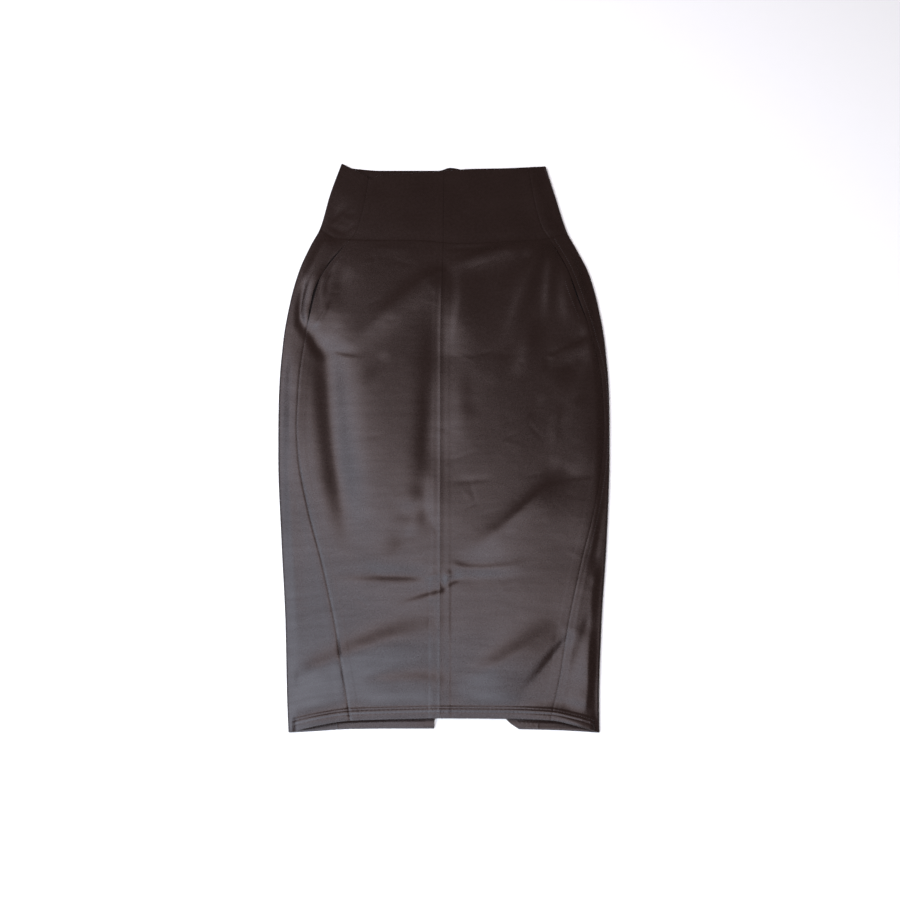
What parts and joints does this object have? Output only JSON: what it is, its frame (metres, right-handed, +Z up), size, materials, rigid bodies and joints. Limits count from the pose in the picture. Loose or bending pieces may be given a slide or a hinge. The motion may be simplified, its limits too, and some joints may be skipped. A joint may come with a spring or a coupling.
{
  "type": "midi skirt",
  "caption": "High-waisted midi pencil skirt in stretch knit with a wide doubled waistband, pockets in the princess seams and a back vent, laid flat.",
  "frame": {"origin": "middle of the laid-flat skirt's footprint, on the surface that it lies on", "axes": "+X to the right as the front is seen, +Y from the hem to the waist, +Z up, out of the front"},
  "size_m": [0.441, 0.7837, 0.0078],
  "materials": {
    "knit": "smooth double-knit jersey, brown-black, with a soft cool sheen",
    "pocket_knit": "single jersey, brown-black, matt",
    "thread": "spun polyester sewing thread, brown-black"
  },
  "bodies": {
    "root": {"waistband_front_left": "knit", "waistband_front_right": "knit", "waistband_side_left": "knit", "waistband_side_right": "knit", "waistband_back_left": "knit", "waistband_back_right": "knit", "skirt_front_left": "knit", "skirt_front_right": "knit", "skirt_side_left": "knit", "skirt_side_right": "knit", "skirt_back_left": "knit", "skirt_back_right": "knit", "vent_facing_left": "knit", "vent_facing_right": "knit", "pocket_front_ply_left": "pocket_knit", "pocket_front_ply_right": "pocket_knit", "pocket_back_ply_left": "pocket_knit", "pocket_back_ply_right": "pocket_knit"}
  },
  "joints": []
}
